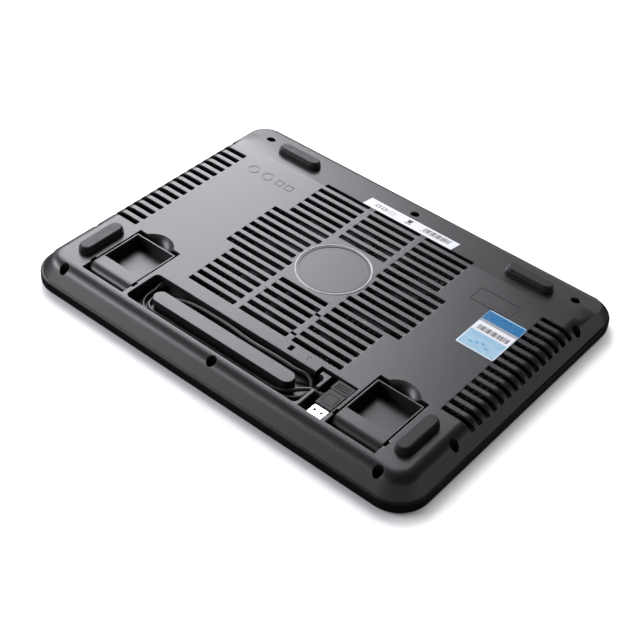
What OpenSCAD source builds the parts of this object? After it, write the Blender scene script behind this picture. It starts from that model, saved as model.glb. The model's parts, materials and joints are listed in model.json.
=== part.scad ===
// Laptop cooling pad, lying on its laptop side with the underside up.
// +Z points out of the underside, +X runs along the long side, and -Y is the edge
// with the flip-out legs and the cable channel. The origin is under the middle of
// the pad, on the plane that carries the laptop.

/* [Body] */
// Width of the pad along X
pad_w = 360; // [350:1:370]
// Depth of the pad along Y
pad_d = 272; // [268:1:280]
// Height from the laptop side to the underside
pad_h = 24; // [24:0.5:26]
// Height of the line where the top frame and the bottom cover meet
parting_z = 10; // [9:0.5:10.5]
// Corner radius of the rim, seen from above
rim_r = 26; // [24:1:28]
// Radius that rounds the underside into the skirt
fillet_r = 12; // [11:0.5:12.5]
// Angle between the skirt's outward normal and the horizontal
skirt_lean = 34; // [32:1:36]
// Drop of the sloping band at the front edge
band_drop = 6.5; // [5:0.5:7]
// Distance from the middle to the crease where the sloping band starts
crease_y = 87; // [84:1:88]
// Wall thickness of the bottom cover
wall = 2; // [1.8:0.1:2.2]
// Width of the window that the mesh fills
window_w = 316; // [300:1:318]
// Depth of the window that the mesh fills
window_d = 208; // [200:1:209]
// Thickness of the perforated sheet
sheet_t = 0.8; // [0.6:0.1:1]

/* [Vents] */
// Distance between two rows of slots
slot_pitch = 8.8; // [8.4:0.1:9]
// Width of one slot
slot_w = 4.7; // [4:0.1:5]
// Corner radius of one slot
slot_corner = 0.8; // [0.4:0.1:1]
// Number of rows in the middle field
slot_rows = 19; // [17:2:19]
// Number of rows on each side
side_rows = 15; // [13:2:15]
// Radius of the raised ring in the middle
ring_r = 29; // [28:0.5:30]

/* [Legs] */
// Distance from the middle to the centre of a leg
leg_x = 117; // [116:0.5:118]
// Width of the pocket that holds a leg
pocket_w = 42; // [41:0.5:42]
// Width of a leg
leg_w = 40; // [38:0.5:40]
// Thickness of a leg
leg_t = 17.8; // [17:0.1:18]
// Depth of the open tray in a leg
tray_depth = 10; // [8:0.5:11]
// Radius of the hinge pin
pin_r = 2; // [1.5:0.1:2]
// Running clearance round the hinge pin
pin_gap = 0.05; // [0.03:0.01:0.08]

/* [Fan] */
// Radius over the blade tips
blade_tip_r = 71; // [66:1:73]
// Number of blades
blade_count = 9; // [7:1:9]
// Outer radius of the rotor hub
hub_r = 24; // [23.8:0.1:24.2]
// Radius of the steel shaft
shaft_r = 1.5; // [1.2:0.1:1.6]

/* [Feet] */
// Length of a rubber foot
foot_l = 42; // [38:1:42]
// Width of a rubber foot
foot_w = 13; // [12:0.5:13]
// Height of a rubber foot
foot_h = 6; // [5.5:0.5:6.5]

/* [Cable] */
// Diameter of the USB cable
cable_d = 3; // [2.6:0.1:3.1]

/* [Hidden] */

// Body
half_w = pad_w / 2;
half_d = pad_d / 2;
corner_x = half_w - rim_r;
corner_y = half_d - rim_r;
// How far the start of the fillet is inside the rim
flat_inset = 18;
button_r = rim_r - flat_inset;
// The sloping band lets the front fillet slide down and out along the skirt
band_centre = [
    corner_y + button_r + band_drop * tan(skirt_lean),
    pad_h - fillet_r - band_drop
];
to_band = band_centre - [crease_y, pad_h];
band_slope = -atan2(to_band[1], to_band[0]) - asin(fillet_r / norm(to_band));
skirt_reach = flat_inset
    - (fillet_r + (pad_h - fillet_r - parting_z) * sin(skirt_lean)) / cos(skirt_lean);
rim_edge_r = 3;
frame_plate = 2;
frame_wall = 3;
lip_depth = 2;
lip_t = 1.6;
rabbet = 4;
rabbet_z = 0.8;
sheet_gap = 0.3;
hole_pitch = 12;
hole_r = 4.4;

// Fan and vents
fan_y = 10;
slot_in = 22.25;
slot_near = 27.9;
slot_far = 72.5;
slot_far_mid = 83.5;
slot_ring_end = 31.3;
side_slot_in = 145.9;
side_slot_out = 172;
slot_bottom = pad_h - 3.4;
ring_bead = 0.8;
dish_r = 27;
dish_t = 0.4;
shroud_r = 75.5;
shroud_t = 1.6;
shroud_z = 8;

// Legs and their pockets
pocket_near = -116.5;
pocket_far = -56;
pocket_floor = 3.2;
pocket_wall = 2.4;
pocket_under = 1.1;
hinge_y = -104.5;
leg_top = pad_h - 0.2;
leg_bottom = leg_top - leg_t;
heel_r = leg_t / 2;
hinge_z = leg_bottom + heel_r;
leg_far = -60;
leg_wall = 1.4;
leg_floor = 1.5;
tray_near = -95.8;
notch_depth = 1.6;
notch_mouth = 5.2;
dimple_r = 18.8;
dimple_y = -65.5;
dimple_z = pad_h + 8;

// Cable channel and plug pocket
channel_floor = 14;
plug_floor = 15;
channel_x = [-92, 70];
channel_y = [-117, -84];
channel_r = 4;
channel_wall = 1.5;
island_x = [-77.5, 55];
island_y = -101;
island_w = 12;
plug_pocket_x = [61, 93.3];
plug_pocket_y = [-117, -77];
divider_x = [64.5, 72.5];
divider_y = -80.5;
cable_notch_y = -96.5;
cable_notch_w = 4;
cable_notch_z = 18.6;
exit_x = -86;
exit_z = 17.2;

// Screws: the places, then the sizes
screw_places = [
    [0, -123.7], [-148, -125], [148, -125], [-170, -72], [170, -72],
    [-170, 81.6], [170, 81.6], [-151.5, 111.3], [151.5, 111.3], [0, 113]
];
well_r = 3.75;
well_z = 9;
boss_r = 5.25;
boss_z = 7;
screw_hole_r = 1.7;
post_r = 4;
post_hole_r = 1.35;
shank_r = 1.25;
head_r = 3;
head_t = 2;

// Motor
base_r = 27;
base_z = pad_h - wall - 1.6;
tube_r = 5;
tube_hole_r = 3.6;
tube_end = 8;
bearing_r = 3.55;
hub_z = 5;
hub_top = 17.8;
hub_skin = 1.6;
magnet_t = 2;
pole_count = 6;
stator_r = 19.5;
stator_z = [9.5, 15.5];
fan_screw_r = 24;

// The cable, from the strain relief round the island to the plug
cable_points = [
    [-86, -90, 17], [-86.2, -95, 16.4], [-86.3, -100, 15.9], [-84.5, -106, 15.6],
    [-79, -111.2, 15.6], [-71, -113.8, 15.6], [-56, -114.3, 15.6], [-38, -113.7, 15.6],
    [-20, -114.2, 15.6], [-2, -113.8, 15.6], [16, -114.2, 15.6], [34, -114, 15.6],
    [48, -113.2, 15.6], [58, -109.8, 15.6], [64.8, -103.5, 15.8], [66, -96, 16.8],
    [62.2, -89.8, 18.6], [56, -87.6, 20], [47.6, -89, 20.6], [37, -88.8, 20.8],
    [25, -88.9, 20.8], [12, -89.3, 20.6], [0, -88.8, 20.4], [-14, -87.4, 20.2],
    [-28, -87, 20], [-41, -86.8, 19.6], [-54, -87.8, 18.8], [-65, -90.2, 17.4],
    [-73.5, -92.2, 16], [-79.4, -95.6, 15.6], [-81, -101, 15.6],
    [-79, -106.4, 15.6], [-72, -109.8, 15.6], [-58, -109.6, 15.6], [-40, -110, 15.6],
    [-20, -109.6, 15.6], [0, -110, 15.6], [18, -109.8, 15.6], [34, -109.8, 15.8],
    [46, -109.9, 16.4], [54.5, -107.2, 17.6], [61, -101.5, 19.3], [67.5, -97.2, 20.4],
    [74.4, -96.5, 20.5]
];
cable_sides = 8;
cable_ring_step = 7;

// The lead inside the housing, from the motor board to the cable
lead_points = [
    [14, 2, 19.6], [19, -6, 19.6], [24, -14, 19.7], [25.5, -22, 20.6], [25, -32, 21],
    [25, -48, 21], [25, -64, 21], [21, -74, 21], [10, -78, 21], [-20, -78, 21],
    [-50, -78, 21], [-72, -78, 20.2], [-83, -78.6, 18.2], [-86, -80.6, 17.2]
];
lead_r = 0.8;
lead_x = 25;
lead_notch_y = [-65.2, -59];
lead_notch_z = 19.4;

// Plug
plug_x = 85;
plug_z = 19;
plug_h = 8;
plug_w = 15;
shell_w = 12;
shell_h = 4.5;
shell_t = 0.35;
shell_y = [-116.6, -105.4];
grip_y = [-105.4, -88.5, -78.5];

// Labels
label_t = 0.15;
rating_x = [-37, 50];
rating_y = [91.5, 105];
barcode_x = [113, 145.6];
barcode_y = [8.5, 53.5];

plastic_dark = [0.16, 0.16, 0.17];
plastic_rim = [0.07, 0.07, 0.075];
rubber = [0.05, 0.05, 0.055];
steel = [0.75, 0.76, 0.78];

// Points on an arc from angle a to angle b
function arc(centre, r, a, b, steps = 8) = [
    for (i = [0:steps]) centre + r * [cos(a + (b - a) * i / steps), sin(a + (b - a) * i / steps)]
];

// A smooth curve through points: position between point i and the next, at t
function curve_at(p, i, t) =
    let (
        a = p[max(i - 1, 0)],
        b = p[i],
        c = p[i + 1],
        d = p[min(i + 2, len(p) - 1)]
    )
    0.5 * (2 * b + (c - a) * t + (2 * a - 5 * b + 4 * c - d) * t * t
        + (3 * b - a - 3 * c + d) * t * t * t);

// Points along that curve, about one every step
function along(p, step) = concat(
    [
        for (i = [0:len(p) - 2])
            let (count = max(1, round(norm(p[i + 1] - p[i]) / step)))
            for (j = [0:count - 1]) curve_at(p, i, j / count)
    ],
    [p[len(p) - 1]]
);

function unit(v) = v / norm(v);

// A tube along points, with flat ends. side_a keeps the rings from twisting.
module tube(p, r, sides) {
    last = len(p) - 1;
    heading = [for (i = [0:last]) unit(p[min(i + 1, last)] - p[max(i - 1, 0)])];
    side_a = [for (h = heading) unit(cross([0, 0, 1], h))];
    side_b = [for (i = [0:last]) cross(heading[i], side_a[i])];
    rings = [
        for (i = [0:last])
            for (k = [0:sides - 1])
                let (turn = 360 * k / sides)
                p[i] + r * (cos(turn) * side_a[i] + sin(turn) * side_b[i])
    ];
    walls = [
        for (i = [0:last - 1])
            for (k = [0:sides - 1])
                let (n = (k + 1) % sides)
                [i * sides + k, (i + 1) * sides + k, (i + 1) * sides + n, i * sides + n]
    ];
    start_cap = [[for (k = [0:sides - 1]) k]];
    end_cap = [[for (k = [0:sides - 1]) last * sides + sides - 1 - k]];
    polyhedron(points = rings, faces = concat(walls, start_cap, end_cap), convexity = 8);
}

module rounded_rect(x, y, r) {
    translate([x[0] + r, y[0]]) square([x[1] - x[0] - 2 * r, y[1] - y[0]]);
    translate([x[0], y[0] + r]) square([x[1] - x[0], y[1] - y[0] - 2 * r]);
    for (cx = [x[0] + r, x[1] - r])
        for (cy = [y[0] + r, y[1] - r])
            translate([cx, cy]) circle(r, $fn = 32);
}

module box(x, y, z) {
    translate([x[0], y[0], z[0]]) cube([x[1] - x[0], y[1] - y[0], z[1] - z[0]]);
}

module both_sides() {
    children();
    mirror([1, 0, 0]) children();
}

// Sweeps a profile, drawn as distance from the corner centre and height, round the rim
module round_the_rim() {
    for (sx = [0, 1])
        for (sy = [0, 1])
            mirror([sx, 0, 0]) mirror([0, sy, 0]) translate([corner_x, corner_y, 0])
                rotate_extrude(angle = 90, $fn = 96) children();
    for (sx = [0, 1])
        mirror([sx, 0, 0]) translate([corner_x, corner_y, 0]) rotate([90, 0, 0])
            linear_extrude(2 * corner_y) children();
    for (sy = [0, 1])
        mirror([0, sy, 0]) translate([-corner_x, corner_y, 0]) rotate([90, 0, 90])
            linear_extrude(2 * corner_x) children();
}

// ---- Bottom cover ----

// The rim's cross-section: the flat underside, the fillet and the skirt.
// It is drawn as distance from the corner centre and height.
module cover_profile(inset, bottom) {
    centre = [button_r, pad_h - fillet_r];
    r = fillet_r - inset;
    edge = rim_r - skirt_reach - inset / cos(skirt_lean) + (parting_z - bottom) * tan(skirt_lean);
    polygon(concat(
        [[0, bottom], [edge, bottom]],
        arc(centre, r, skirt_lean, 90),
        [[0, pad_h - inset]]
    ));
}

// Side view of the flat underside, the crease, the sloping band and the front fillet
module band_profile(inset) {
    r = fillet_r - inset;
    bend = arc(band_centre, r, 90 - band_slope, skirt_lean);
    polygon(concat(
        [[-half_d - 1, 0], [-half_d - 1, pad_h - inset],
            [crease_y - inset * tan(band_slope / 2), pad_h - inset]],
        bend,
        [[half_d + 20, bend[len(bend) - 1][1]], [half_d + 20, 0]]
    ));
}

// The outside of the cover, or its inside when inset is the wall thickness
module cover_form(inset, bottom) {
    intersection() {
        union() {
            round_the_rim() cover_profile(inset, bottom);
            box([-corner_x, corner_x], [-corner_y, corner_y], [bottom, pad_h - inset]);
        }
        translate([-half_w, 0, 0]) rotate([90, 0, 90]) linear_extrude(pad_w) band_profile(inset);
    }
}

// Everything that stands inside the cover above the parting line
module pocket_blocks(z) {
    both_sides()
        box([leg_x - pocket_w / 2 - pocket_wall, leg_x + pocket_w / 2 + pocket_wall],
            [pocket_near - channel_wall, pocket_far + channel_wall], z);
}

module inner_blocks() {
    pocket_blocks([parting_z - 2, pad_h - 1]);
    translate([0, 0, channel_floor - channel_wall]) linear_extrude(pad_h) channel_area(channel_wall);
    for (place = screw_places)
        translate([place[0], place[1], parting_z - 2]) cylinder(r = boss_r, h = pad_h, $fn = 48);
    translate([0, fan_y, parting_z - 2]) linear_extrude(pad_h) shroud_ring();
    both_sides() intersection() {
        translate([leg_x, dimple_y, dimple_z]) sphere(dimple_r + 1.6, $fn = 96);
        box([leg_x - 22, leg_x + 22], [pocket_far, pocket_far + 16], [parting_z, pad_h]);
    }
}

module shroud_ring() {
    difference() {
        circle(shroud_r + shroud_t, $fn = 96);
        circle(shroud_r, $fn = 96);
    }
}

module channel_area(grow) {
    rounded_rect([channel_x[0] - grow, channel_x[1] + grow], [channel_y[0] - grow, channel_y[1] + grow],
        channel_r + grow);
    translate([plug_pocket_x[0] - grow, plug_pocket_y[0] - grow])
        square([plug_pocket_x[1] - plug_pocket_x[0] + 2 * grow,
            plug_pocket_y[1] - plug_pocket_y[0] + 2 * grow]);
}

// The island and the thin divider between the channel and the plug pocket
module channel_islands() {
    r = island_w / 2;
    translate([island_x[0] + r, island_y]) circle(r, $fn = 48);
    translate([island_x[1] - r, island_y]) circle(r, $fn = 48);
    translate([island_x[0] + r, island_y - r]) square([island_x[1] - island_x[0] - 2 * r, island_w]);
    difference() {
        translate([divider_x[0], plug_pocket_y[0] - 1])
            square([divider_x[1] - divider_x[0], divider_y - plug_pocket_y[0] + 1]);
        rounded_rect(channel_x, channel_y, channel_r);
    }
}

module slot_row(x, y) {
    rounded_rect(x, [y - slot_w / 2, y + slot_w / 2], slot_corner);
}

// All slots of the middle field, as an outline
module field_slots() {
    middle = (slot_rows - 1) / 2;
    for (row = [0:slot_rows - 1]) {
        away = abs(row - middle);
        y = fan_y + (row - middle) * slot_pitch;
        inner = away < 2 ? slot_ring_end : slot_near;
        outer = away < 4 ? slot_far_mid : slot_far;
        slot_row([inner, outer], y);
        slot_row([-outer, -inner], y);
        if (away > 3) slot_row([-slot_in, slot_in], y);
    }
}

module side_slots() {
    middle = (side_rows - 1) / 2;
    for (row = [0:side_rows - 1])
        slot_row([side_slot_in, side_slot_out], fan_y + (row - middle) * slot_pitch);
}

// A hole for the hinge pin: a round seat that opens upward into a wider mouth
module pin_notch(x) {
    seat_r = pin_r + pin_gap;
    translate([x[0], hinge_y, hinge_z]) rotate([0, 90, 0]) cylinder(r = seat_r, h = x[1] - x[0], $fn = 48);
    box(x, [hinge_y - seat_r, hinge_y + seat_r], [hinge_z, pad_h]);
    box(x, [hinge_y - notch_mouth / 2, hinge_y + notch_mouth / 2], [hinge_z + seat_r + 0.6, pad_h + 1]);
}

module leg_pocket_cut() {
    near_wall = leg_x - pocket_w / 2;
    far_wall = leg_x + pocket_w / 2;
    box([near_wall, far_wall], [pocket_near, pocket_far], [pocket_floor, pad_h + 1]);
    pin_notch([near_wall - notch_depth, near_wall + 0.1]);
    pin_notch([far_wall - 0.1, far_wall + notch_depth]);
    intersection() {
        translate([leg_x, dimple_y, dimple_z]) sphere(dimple_r, $fn = 96);
        box([near_wall - 2, far_wall + 2], [pocket_far - 1, pocket_far + 12], [pocket_floor, pad_h + 1]);
    }
}

// Small openings and shallow marks beside the vents
module small_marks() {
    for (y = [-65, -38])
        box([22.3, 26.8], [y - 1.1, y + 1.1], [slot_bottom, pad_h + 1]);
    box([31.2, 34.8], [-80, -75], [slot_bottom, pad_h + 1]);
    mark_z = [pad_h - 0.25, pad_h + 1];
    box([48, 50.5], [-79.5, -75.5], mark_z);
    difference() {
        box([94, 129], [54, 70.5], mark_z);
        box([94.7, 128.3], [54.7, 69.8], [0, pad_h + 2]);
    }
    for (x = [-129, -114]) translate([x, 64, mark_z[0]]) difference() {
        cylinder(r = 5, h = 2, $fn = 48);
        cylinder(r = 4.2, h = 2, $fn = 48);
    }
    for (x = [-101, -91]) difference() {
        box([x - 3.5, x + 3.5], [60.5, 67.5], mark_z);
        box([x - 2.8, x + 2.8], [61.2, 66.8], [0, pad_h + 2]);
    }
}

module bottom_cover() color(plastic_dark) {
    difference() {
        union() {
            difference() {
                cover_form(0, parting_z);
                difference() {
                    cover_form(wall, parting_z - 1);
                    union() inner_blocks();
                }
            }
            pocket_blocks([pocket_floor - pocket_under, parting_z + 0.5]);
            for (place = screw_places)
                translate([place[0], place[1], boss_z])
                    cylinder(r = boss_r, h = parting_z - boss_z + 0.5, $fn = 48);
            translate([0, fan_y, shroud_z]) linear_extrude(parting_z - shroud_z + 0.5) shroud_ring();
            round_the_rim() translate([rim_r - frame_wall - 0.1 - lip_t, parting_z - lip_depth])
                square([lip_t, lip_depth + 0.4]);
            translate([0, fan_y, pad_h - 0.35]) rotate_extrude($fn = 96)
                translate([ring_r, 0]) circle(ring_bead, $fn = 24);
        }
        translate([0, fan_y, pad_h - dish_t]) cylinder(r = dish_r, h = 2, $fn = 96);
        translate([0, 0, slot_bottom]) linear_extrude(pad_h) field_slots();
        both_sides() translate([0, 0, parting_z + 2]) linear_extrude(pad_h) side_slots();
        both_sides() leg_pocket_cut();
        difference() {
            translate([0, 0, channel_floor]) linear_extrude(pad_h) difference() {
                channel_area(0);
                channel_islands();
            }
            box([channel_x[1], plug_pocket_x[1] + 1], [-120, -70], [0, plug_floor]);
        }
        box([divider_x[0], divider_x[1] + 1],
            [cable_notch_y - cable_notch_w / 2, cable_notch_y + cable_notch_w / 2], [cable_notch_z, pad_h + 1]);
        translate([exit_x, channel_y[1] + 4, exit_z]) rotate([90, 0, 0]) cylinder(r = 2.6, h = 6, $fn = 48);
        for (place = screw_places) translate([place[0], place[1], 0]) {
            translate([0, 0, well_z]) cylinder(r = well_r, h = pad_h, $fn = 48);
            cylinder(r = screw_hole_r, h = pad_h, $fn = 48);
        }
        box([lead_x - 2 * lead_r, lead_x + 2 * lead_r], lead_notch_y, [lead_notch_z, pad_h - wall]);
        for (turn = [90, 210, 330])
            translate([0, fan_y, 0]) rotate(turn) translate([fan_screw_r, 0, 0])
                cylinder(r = 1.05, h = pad_h - 0.8, $fn = 32);
        small_marks();
    }
}

// ---- Top frame and mesh ----

module top_frame() color(plastic_rim) {
    inner_r = rim_r - frame_wall;
    difference() {
        union() {
            round_the_rim() polygon(concat(
                [[inner_r, 0]],
                arc([rim_r - rim_edge_r, rim_edge_r], rim_edge_r, -90, 0),
                arc([rim_r - 1, parting_z - 1], 1, 0, 90),
                [[rim_r + 0.5 - skirt_reach, parting_z], [rim_r + 0.5 - skirt_reach, parting_z - 0.5],
                    [inner_r, parting_z - 0.5]]
            ));
            linear_extrude(frame_plate)
                rounded_rect([-corner_x - inner_r - 0.01, corner_x + inner_r + 0.01],
                    [-corner_y - inner_r - 0.01, corner_y + inner_r + 0.01], inner_r);
            for (place = screw_places)
                translate([place[0], place[1], 0]) cylinder(r = post_r, h = boss_z, $fn = 48);
        }
        box([-window_w / 2, window_w / 2], [-window_d / 2, window_d / 2], [-1, frame_plate + 1]);
        box([-window_w / 2 - rabbet, window_w / 2 + rabbet], [-window_d / 2 - rabbet, window_d / 2 + rabbet],
            [rabbet_z, frame_plate + 0.01]);
        for (place = screw_places)
            translate([place[0], place[1], frame_plate]) cylinder(r = post_hole_r, h = pad_h, $fn = 32);
    }
}

module mesh_panel() color(steel) {
    half_x = window_w / 2 + rabbet - sheet_gap;
    half_y = window_d / 2 + rabbet - sheet_gap;
    columns = floor((window_w / 2 - hole_pitch) / hole_pitch);
    rows = floor((window_d / 2 - hole_pitch) / hole_pitch);
    translate([0, 0, rabbet_z]) linear_extrude(sheet_t) difference() {
        square([2 * half_x, 2 * half_y], center = true);
        for (column = [-columns:columns])
            for (row = [-rows:rows])
                translate([column * hole_pitch, row * hole_pitch]) circle(hole_r, $fn = 24);
    }
}

// ---- Legs ----

// The right leg, folded away. The left one is its mirror image.
module leg() {
    near_x = leg_x - leg_w / 2;
    far_x = leg_x + leg_w / 2;
    difference() {
        union() {
            box([near_x, far_x], [hinge_y, leg_far], [leg_bottom, leg_top]);
            translate([near_x, hinge_y, hinge_z]) rotate([0, 90, 0])
                cylinder(r = heel_r, h = leg_w, $fn = 96);
        }
        box([near_x + leg_wall, far_x - leg_wall], [tray_near, leg_far - leg_wall],
            [leg_top - tray_depth, leg_top + 1]);
        box([near_x + leg_wall, far_x - leg_wall], [tray_near, leg_far - leg_wall],
            [leg_bottom - 1, leg_top - tray_depth - leg_floor]);
        translate([near_x - 1, hinge_y, hinge_z]) rotate([0, 90, 0])
            cylinder(r = pin_r + 0.03, h = leg_w + 2, $fn = 48);
    }
}

module leg_pin() {
    reach = pocket_w / 2 + notch_depth - 0.2;
    translate([leg_x - reach, hinge_y, hinge_z]) rotate([0, 90, 0])
        cylinder(r = pin_r, h = 2 * reach, $fn = 48);
}

module leg_left() color(plastic_dark) mirror([1, 0, 0]) leg();
module leg_right() color(plastic_dark) leg();
module leg_pin_left() color(steel) mirror([1, 0, 0]) leg_pin();
module leg_pin_right() color(steel) leg_pin();

// ---- Feet ----

// Half of a foot's cross-section: a wide base, a groove, a middle step and a rounded top
module foot_profile() {
    r = foot_w / 2;
    polygon(concat(
        [[0, 0], [r, 0], [r, 1.4], [r - 0.8, 1.6], [r - 0.8, 2.2], [r - 0.4, 2.4]],
        [[r - 0.4, 3.6], [r - 1.2, 3.9], [r - 1.2, foot_h - 1.2]],
        arc([r - 2.4, foot_h - 1.2], 1.2, 0, 90, 6),
        [[0, foot_h]]
    ));
}

// A foot along Y, standing on z = 0
module foot() {
    straight = foot_l - foot_w;
    for (turn = [0, 180])
        rotate(turn) {
            translate([0, straight / 2, 0]) rotate_extrude(angle = 180, $fn = 64) foot_profile();
            translate([0, straight / 2, 0]) rotate([90, 0, 0]) linear_extrude(straight) foot_profile();
        }
}

module rear_foot(side) translate([side * 149.7, -86, pad_h]) foot();

module front_foot(side) translate([0, crease_y, pad_h]) rotate([-band_slope, 0, 0])
    translate([side * 114, 17.5, 0]) rotate(90) foot();

module foot_rear_left() color(rubber) rear_foot(-1);
module foot_rear_right() color(rubber) rear_foot(1);
module foot_front_left() color(rubber) front_foot(-1);
module foot_front_right() color(rubber) front_foot(1);

// ---- Fan motor ----

module motor_base() color(plastic_dark) translate([0, fan_y, 0]) difference() {
    union() {
        translate([0, 0, base_z]) cylinder(r = base_r, h = pad_h - wall - base_z, $fn = 96);
        translate([0, 0, tube_end]) cylinder(r = tube_r, h = base_z - tube_end + 0.5, $fn = 64);
    }
    translate([0, 0, tube_end - 1]) cylinder(r = tube_hole_r, h = base_z - tube_end + 1, $fn = 48);
    for (turn = [90, 210, 330])
        rotate(turn) translate([fan_screw_r, 0, 0]) cylinder(r = 1.2, h = pad_h, $fn = 32);
}

module motor_bearing() color([0.72, 0.56, 0.28]) translate([0, fan_y, tube_end + 1]) difference() {
    cylinder(r = bearing_r, h = 10.5, $fn = 48);
    translate([0, 0, -1]) cylinder(r = shaft_r + 0.05, h = 13, $fn = 48);
}

// One pole: an arm and a curved tip
module pole() {
    translate([tube_r + 1, -1.8]) square([stator_r - tube_r - 2.4, 3.6]);
    intersection() {
        difference() {
            circle(stator_r, $fn = 96);
            circle(stator_r - 1.8, $fn = 96);
        }
        translate([0, -7.4]) square([stator_r + 1, 14.8]);
    }
}

module stator_core() color([0.45, 0.46, 0.48]) translate([0, fan_y, stator_z[0]])
    linear_extrude(stator_z[1] - stator_z[0]) difference() {
        union() {
            circle(tube_r + 2.4, $fn = 64);
            for (i = [0:pole_count - 1]) rotate(i * 360 / pole_count) pole();
        }
        circle(tube_r + 0.05, $fn = 64);
    }

module stator_coils() color([0.72, 0.35, 0.18]) translate([0, fan_y, 0])
    for (i = [0:pole_count - 1]) rotate(i * 360 / pole_count) difference() {
        box([tube_r + 4.2, stator_r - 2.4], [-3.4, 3.4], [stator_z[0] - 1.4, stator_z[1] + 1.4]);
        box([0, stator_r], [-1.85, 1.85], [stator_z[0] - 0.05, stator_z[1] + 0.05]);
    }

module motor_board() color([0.1, 0.35, 0.18]) translate([0, fan_y, 17.6]) difference() {
    cylinder(r = 18.5, h = 1.2, $fn = 72);
    translate([0, 0, -1]) cylinder(r = tube_r + 0.05, h = 4, $fn = 64);
}

// Outline of one blade: it widens and sweeps back towards the tip
function blade_angle(t) = 16 * t * t;
function blade_half(t) = 1.3 + 1.9 * t;
function blade_point(t, side) =
    let (r = hub_r - 1 + t * (blade_tip_r - hub_r + 1), a = blade_angle(t))
    [r * cos(a) - side * blade_half(t) * sin(a), r * sin(a) + side * blade_half(t) * cos(a)];

module blade() {
    steps = 6;
    linear_extrude(9.5, twist = 30, slices = 8)
        polygon(concat(
            [for (i = [0:steps]) blade_point(i / steps, -1)],
            [for (i = [steps:-1:0]) blade_point(i / steps, 1)]
        ));
}

module fan_rotor() color([0.1, 0.1, 0.11]) translate([0, fan_y, 0]) difference() {
    union() {
        translate([0, 0, hub_z]) cylinder(r = hub_r, h = hub_top - hub_z, $fn = 96);
        for (i = [0:blade_count - 1]) translate([0, 0, 7.5]) rotate(i * 360 / blade_count) blade();
    }
    translate([0, 0, hub_z + hub_skin]) cylinder(r = hub_r - 1.7, h = hub_top, $fn = 96);
    translate([0, 0, hub_z - 1]) cylinder(r = shaft_r + 0.02, h = 4, $fn = 48);
}

module rotor_magnet() color([0.2, 0.2, 0.21]) translate([0, fan_y, hub_z + hub_skin + 1.5]) difference() {
    cylinder(r = hub_r - 1.75, h = 9, $fn = 96);
    translate([0, 0, -1]) cylinder(r = hub_r - 1.75 - magnet_t, h = 11, $fn = 96);
}

module rotor_shaft() color(steel) translate([0, fan_y, hub_z + 0.2])
    cylinder(r = shaft_r, h = 13.8, $fn = 48);

module fan_screws() color(steel) translate([0, fan_y, 0])
    for (turn = [90, 210, 330])
        rotate(turn) translate([fan_screw_r, 0, base_z]) {
            translate([0, 0, -1.2]) cylinder(r = 2.2, h = 1.2, $fn = 32);
            cylinder(r = 1, h = 2.6, $fn = 32);
        }

module case_screws() color(steel)
    for (place = screw_places) translate([place[0], place[1], well_z]) difference() {
        union() {
            cylinder(r = head_r, h = head_t, $fn = 48);
            translate([0, 0, -6]) cylinder(r = shank_r, h = 6.5, $fn = 32);
        }
        for (turn = [0, 90]) rotate(turn)
            translate([-1.6, -0.3, head_t - 0.9]) cube([3.2, 0.6, 2]);
    }

// ---- Cable and plug ----

module fan_lead() color([0.08, 0.08, 0.09]) tube(along(lead_points, 6), lead_r, 8);

module strain_relief() color(rubber) translate([exit_x, 0, exit_z]) difference() {
    union() {
        translate([0, -82.4, 0]) rotate([-90, 0, 0]) cylinder(r = 3.4, h = 1.2, $fn = 48);
        translate([0, -84, 0]) rotate([-90, 0, 0]) cylinder(r = 2.55, h = 2, $fn = 48);
        translate([0, -90, 0]) rotate([-90, 0, 0]) cylinder(r1 = 2, r2 = 2.55, h = 6, $fn = 48);
    }
    translate([0, -81.9, 0]) rotate([-90, 0, 0]) cylinder(r = 0.9, h = 2, $fn = 32);
}

module usb_cable() color([0.05, 0.05, 0.055])
    tube(along(cable_points, cable_ring_step), cable_d / 2, cable_sides);

module usb_plug_body() color([0.06, 0.06, 0.065]) difference() {
    union() {
        box([plug_x - plug_w / 2 + 0.6, plug_x + plug_w / 2 - 0.6], [grip_y[0], grip_y[1]],
            [plug_z - plug_h / 2 + 0.4, plug_z + plug_h / 2 - 0.4]);
        box([plug_x - plug_w / 2, plug_x + plug_w / 2], [grip_y[1], grip_y[2]],
            [plug_z - plug_h / 2, plug_z + plug_h / 2]);
        translate([74.4, cable_notch_y, 20.5]) rotate([0, 90, 0])
            cylinder(r = 2.1, h = plug_x - 74.4, $fn = 48);
    }
    for (i = [0:2])
        box([plug_x - 5.2, plug_x + 5.2], [-86.6 + 2.2 * i, -85.5 + 2.2 * i],
            [plug_z + plug_h / 2 - 0.5, plug_z + plug_h]);
    box([plug_x - shell_w / 2 - 0.02, plug_x + shell_w / 2 + 0.02], [grip_y[0] - 1, grip_y[0] + 3.02],
        [plug_z - shell_h / 2 - 0.02, plug_z + shell_h / 2 + 0.02]);
}

module usb_plug_shell() color(steel) difference() {
    box([plug_x - shell_w / 2, plug_x + shell_w / 2], [shell_y[0], shell_y[1] + 3],
        [plug_z - shell_h / 2, plug_z + shell_h / 2]);
    box([plug_x - shell_w / 2 + shell_t, plug_x + shell_w / 2 - shell_t], [shell_y[0] - 1, shell_y[1] + 4],
        [plug_z - shell_h / 2 + shell_t, plug_z + shell_h / 2 - shell_t]);
    for (side = [-1, 1])
        box([plug_x + side * 2.9 - 1.1, plug_x + side * 2.9 + 1.1], [-111.6, -109.2],
            [plug_z - shell_h, plug_z + shell_h]);
}

module usb_plug_insert() color([0.9, 0.9, 0.9]) union() {
    box([plug_x - 5.6, plug_x + 5.6], [-108, shell_y[1] + 3], [plug_z - 1.85, plug_z + 1.85]);
    box([plug_x - 5.6, plug_x + 5.6], [shell_y[0] + 0.3, -108], [plug_z - 1.85, plug_z - 0.2]);
}

// ---- Labels ----

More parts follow.
